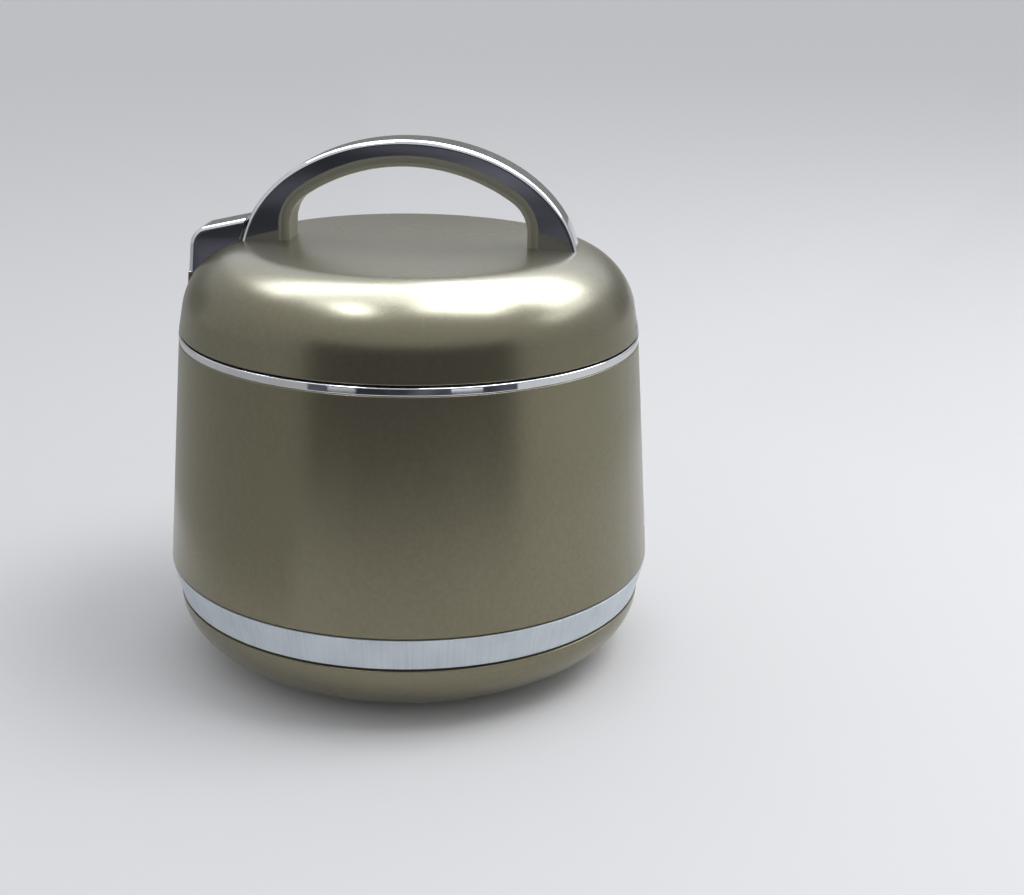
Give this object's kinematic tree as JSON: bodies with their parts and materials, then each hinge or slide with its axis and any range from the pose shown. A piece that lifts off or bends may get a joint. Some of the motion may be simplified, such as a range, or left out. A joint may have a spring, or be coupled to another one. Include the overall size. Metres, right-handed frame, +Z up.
{
  "type": "insulated casserole",
  "caption": "Round insulated pot for flat bread, with a steel bowl, an arched carrying handle on a hinged lid, and a push-button catch.",
  "frame": {"origin": "middle of the foot ring, on the table", "axes": "+Z up; X along the handle, with the hinge at -X and the push button at +X"},
  "size_m": [0.25, 0.25, 0.2668],
  "materials": {
    "champagne_shell": "champagne metallic paint, satin gloss",
    "chrome_plate": "bright chrome plating on moulded plastic",
    "brushed_trim": "silver, fine brushed",
    "stainless": "satin stainless steel",
    "ivory_moulding": "fine-grained moulded plastic",
    "grey_moulding": "moulded plastic",
    "grip_moulding": "champagne metallic paint, satin",
    "foam": "rigid insulating foam",
    "silicone": "translucent grey silicone",
    "foot_rubber": "black rubber",
    "screw_steel": "zinc-plated steel",
    "cast_zinc": "plain die casting"
  },
  "bodies": {
    "body": {"foot_ring": "foot_rubber", "base_pan": "champagne_shell", "filling_plug": "grey_moulding", "outer_shell": "champagne_shell", "trim_band": "brushed_trim", "rim_ring": "chrome_plate", "rim_collar": "ivory_moulding", "inner_bowl": "stainless", "foam_fill": "foam", "catch_plate": "stainless", "catch_screws": "screw_steel", "hinge_bracket": "champagne_shell", "bracket_screws": "screw_steel", "hinge_bushes": "ivory_moulding"},
    "lid": {"lid_shell": "champagne_shell", "lid_base": "ivory_moulding", "lid_plate": "stainless", "lid_gasket": "silicone", "lid_foam": "foam", "lid_screws": "screw_steel", "handle_cover": "chrome_plate", "handle_grip": "grip_moulding", "handle_backing_plates": "screw_steel", "handle_screws": "screw_steel", "hinge_pin": "screw_steel", "hinge_fork": "cast_zinc", "fork_screws": "screw_steel", "hinge_cover": "chrome_plate", "latch_guide": "ivory_moulding", "guide_screws": "screw_steel", "latch_spring": "screw_steel"},
    "latch": {"latch_slider": "ivory_moulding", "latch_button": "champagne_shell"}
  },
  "joints": [
    {"name": "lid_hinge", "type": "hinge", "parent": "body", "child": "lid", "pos_m": [-0.1042, 0, 0.204], "axis": [0, -1, 0], "range_deg": [0, 95]},
    {"name": "latch_push", "type": "slide", "parent": "lid", "child": "latch", "axis": [-1, 0, 0], "range_m": [0, 0.0032], "stiffness_N_per_m": 400, "springref_m": -0.004, "deforming": ["latch_spring"]}
  ]
}
